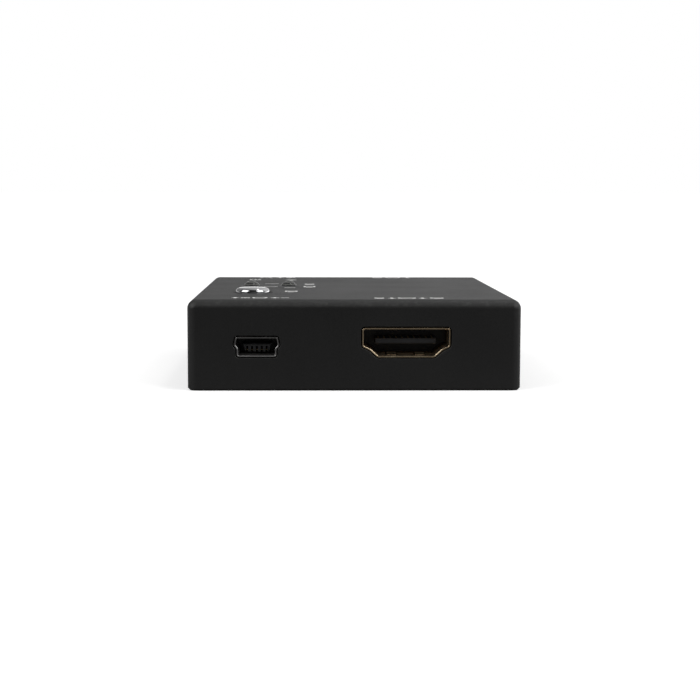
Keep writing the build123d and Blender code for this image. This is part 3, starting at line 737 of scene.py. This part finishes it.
# Each sign: outline, middle in X and Y, width and depth in millimetres, and whether it is filled
signs = [
    (rearward, -19.8, -28.2, 1.4, 2.1, True),
    (square, -18.1, -27.75, 1.5, 0.45, True),
    (square, -18.65, -28.7, 0.4, 0.45, True),
    (square, -18.1, -28.7, 0.4, 0.45, True),
    (square, -17.55, -28.7, 0.4, 0.45, True),
    (power_mouth, -15.7, -28.2, 2.6, 2.2, False),
    (cross, -13.2, -28.2, 1.4, 1.6, True),
    (square, -11.5, -28.2, 1.3, 0.5, True),
    (square, 4.2, -28.8, 1.6, 1.4, False),
    (square, 4.2, -29.9, 0.9, 0.4, True),
    (forward, 6.3, -29.0, 1.4, 2.1, True),
    (display_mouth, 8.8, -29.0, 3.0, 2.3, False),
    (forward, 11.4, -29.0, 1.4, 2.1, True),
    (square, 13.8, -28.7, 2.2, 1.6, False),
    (square, 13.8, -29.9, 1.2, 0.4, True),
    (arc_band(0.5, 0.34, 0, 180), -16.5, 29.3, 2.4, 2.6, True),
    (square, -17.5, 29.1, 0.6, 1.1, True),
    (square, -15.5, 29.1, 0.6, 1.1, True),
    (rearward, -13.6, 29.6, 1.4, 2.1, True),
    (circle, -11.4, 29.6, 2.0, 2.0, False),
    (circle, -11.4, 29.6, 0.7, 0.7, True),
    (square, 6.4, 29.9, 2.0, 1.6, False),
    (square, 6.4, 28.7, 1.1, 0.4, True),
    (display_mouth, 9.6, 29.6, 3.0, 2.3, False),
    (forward, 12.6, 29.6, 1.4, 2.1, True),
    (arc_band(0.5, 0.34, 125, 415), -18.4, 22.3, 2.4, 2.4, True),
    (square, -18.4, 23.2, 0.4, 1.3, True),
    (arc_band(0.5, 0.35, 40, 140), -11.2, 20.5, 3.0, 3.6, True),
    (arc_band(0.5, 0.26, 40, 140), -11.2, 20.5, 1.6, 2.0, True),
    (circle, -11.2, 20.6, 0.6, 0.6, True),
    (square, -14.7, 9.4, 2.6, 0.4, True),
    (square, -14.7, 0.4, 2.6, 0.4, True),
    (square, -11.1, -2.3, 2.0, 0.5, True),
    (square, -10.7, -12.0, 2.2, 2.2, False),
    (square, -10.7, -13.7, 1.2, 0.6, True),
    (square, -7.5, 8.2, 1.8, 2.0, False),
    (square, -7.5, 6.5, 1.0, 0.5, True),
    (square, -7.5, 1.0, 2.2, 2.6, False),
    (square, -7.5, -1.0, 1.2, 0.5, True),
]
prints = []
for outline, x, y, width, depth, filled in signs:
    corners = [
        ((x + px * width) * millimetre, (y + py * depth) * millimetre, ink_low)
        for px, py in outline
    ]
    mesh = bpy.data.meshes.new("sign")
    mesh.from_pydata(corners, [], [range(len(corners))])
    sign = bpy.data.objects.new("sign", mesh)
    bpy.context.scene.collection.objects.link(sign)
    bpy.ops.object.select_all(action="DESELECT")
    sign.select_set(True)
    bpy.context.view_layer.objects.active = sign
    bpy.ops.object.mode_set(mode="EDIT")
    bpy.ops.mesh.select_all(action="SELECT")
    if not filled:
        bpy.ops.mesh.inset(thickness=ink_stroke)
        bpy.ops.mesh.delete(type="FACE")
        bpy.ops.mesh.select_all(action="SELECT")
    bpy.ops.mesh.extrude_region_move(TRANSFORM_OT_translate={"value": (0, 0, ink_thickness)})
    bpy.ops.mesh.select_all(action="SELECT")
    bpy.ops.mesh.normals_make_consistent(inside=False)
    bpy.ops.object.mode_set(mode="OBJECT")
    prints.append(sign)
bpy.ops.object.select_all(action="DESELECT")
for sign in prints:
    sign.select_set(True)
bpy.context.view_layer.objects.active = prints[0]
bpy.ops.object.join()
printing = bpy.context.object
printing.name = "cover_printing"
coat(printing, ink)
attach(printing, "housing")

# Case screws: black zinc-plated steel with cross slots, driven from below into the cover's
# bosses. The edges of their heads and slots are slightly rounded.
screw_metal = grained_finish(
    "black zinc plating",
    dark=(0.035, 0.035, 0.038),
    light=(0.07, 0.07, 0.075),
    gloss=(0.28, 0.44),
    tooth=0.00015,
    relief=0.000006,
    metallic=1.0,
    cloud=0.001,
)
rounded_height = 0.0006
screws = edged_copy(
    "case_screws",
    "case_screws_turned",
    width=0.0001,
    steps=3,
    near=lambda p: p.z < rounded_height,
)
coat(screws, screw_metal)
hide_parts("case_screws")
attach(screws, "housing")

# Floor: a plain white sheet under the object, which keeps its soft shadow. Shiny metal sees it
# white behind the object and fading into the dark room in front of it, where the camera stands.
bpy.ops.mesh.primitive_plane_add(size=60, location=(0, 0, 0))
floor = bpy.context.object
floor.name = "floor"
paper_white = 0.8
paper = bpy.data.materials.new("white sheet")
paper.use_nodes = True
tree = paper.node_tree
shader = tree.nodes["Principled BSDF"]
shader.inputs["Roughness"].default_value = 0.9
shader.inputs["Specular IOR Level"].default_value = 0.0
shader.inputs["Emission Color"].default_value = (1, 1, 1, 1)


def mirror_rays(tree, rays):
    """One for what is seen in a shiny surface or through a clear one, and nought otherwise."""
    share = combined(
        tree, "ADD", rays.outputs["Is Glossy Ray"], rays.outputs["Is Transmission Ray"]
    )
    share.node.use_clamp = True
    return share


rays = tree.nodes.new("ShaderNodeLightPath")
position = tree.nodes.new("ShaderNodeNewGeometry").outputs["Position"]
split = tree.nodes.new("ShaderNodeSeparateXYZ")
tree.links.new(position, split.inputs["Vector"])
distance = tree.nodes.new("ShaderNodeVectorMath")
distance.operation = "LENGTH"
tree.links.new(position, distance.inputs[0])
darker_in_front = graded(
    tree, split.outputs["Y"], start=-0.06, end=0.03, low=0.1, high=paper_white
)
sheet = blended(tree, mirror_rays(tree, rays), paper_white, darker_in_front)
glow = graded(tree, distance.outputs["Value"], start=0.1, end=0.7, low=0.43, high=0.64)
camera_glow = combined(tree, "MULTIPLY", rays.outputs["Is Camera Ray"], glow)
tree.links.new(sheet, shader.inputs["Base Color"])
tree.links.new(camera_glow, shader.inputs["Emission Strength"])
coat(floor, paper)

# Studio: white all round to the camera and an even tent for soft light. In metal and lenses the
# tent shows white low behind the object, greyer higher up, brighter to the right, and dark where
# the camera stands. Two softboxes light the front, and a small lamp hangs overhead.
soft_light = 0.5
plain_white = 1.0
world = bpy.data.worlds.new("tent")
bpy.context.scene.world = world
world.use_nodes = True
tree = world.node_tree
background = tree.nodes["Background"]
background.inputs["Color"].default_value = (1, 1, 1, 1)
rays = tree.nodes.new("ShaderNodeLightPath")
outward = tree.nodes.new("ShaderNodeTexCoord").outputs["Generated"]
split = tree.nodes.new("ShaderNodeSeparateXYZ")
tree.links.new(outward, split.inputs["Vector"])
rearward_part = tree.nodes.new("ShaderNodeVectorMath")
rearward_part.operation = "DOT_PRODUCT"
rearward_part.inputs[1].default_value = (0, 1, 0.4)
tree.links.new(outward, rearward_part.inputs[0])
behind = graded(
    tree,
    rearward_part.outputs["Value"],
    start=-0.15,
    end=0.6,
    low=0.06,
    high=1.0,
    curve="SMOOTHSTEP",
)
low_down = graded(
    tree, split.outputs["Z"], start=0.02, end=0.14, low=1.6, high=0.45, curve="SMOOTHSTEP"
)
to_the_right = graded(tree, split.outputs["X"], start=-0.5, end=0.5, low=0.45, high=1.55)
tent = combined(tree, "MULTIPLY", combined(tree, "MULTIPLY", behind, low_down), to_the_right)
to_the_object = blended(tree, mirror_rays(tree, rays), under=soft_light, over=tent)
strength = blended(tree, rays.outputs["Is Camera Ray"], under=to_the_object, over=plain_white)
tree.links.new(strength, background.inputs["Strength"])
for name, place, width, height, power in (
    ("left softbox", (-0.44, -0.26, 0.36), 0.46, 0.45, 1.5),
    ("right softbox", (0.44, -0.26, 0.36), 0.46, 0.45, 1.5),
    ("overhead lamp", (0.17, 0.05, 0.56), 0.08, 0.08, 0.25),
):
    lamp = bpy.data.lights.new(name, "AREA")
    lamp.shape = "RECTANGLE"
    lamp.size = width
    lamp.size_y = height
    lamp.energy = power
    holder = bpy.data.objects.new(name, lamp)
    holder.location = place
    holder.rotation_euler = (-Vector(place)).to_track_quat("-Z", "Y").to_euler()
    bpy.context.scene.collection.objects.link(holder)

# Camera: at the photograph's viewing angle, a little above the case and slightly to its left. It
# looks down by a few degrees and leans a little, with all three angles in degrees.
tilt_down = 6.13
turn_right = 1.45
lean = 0.15
camera_data = bpy.data.cameras.new("camera")
camera_data.lens = 75.71
camera_data.sensor_width = 36
camera_data.clip_start = 0.01
camera = bpy.data.objects.new("camera", camera_data)
camera.location = (-0.00685, -0.27328, 0.03258)
camera.rotation_euler = (math.radians(90 - tilt_down), 0, math.radians(-turn_right))
camera.rotation_euler.rotate_axis("Z", math.radians(lean))
bpy.context.scene.collection.objects.link(camera)
bpy.context.scene.camera = camera

bpy.context.scene.view_settings.view_transform = "Standard"
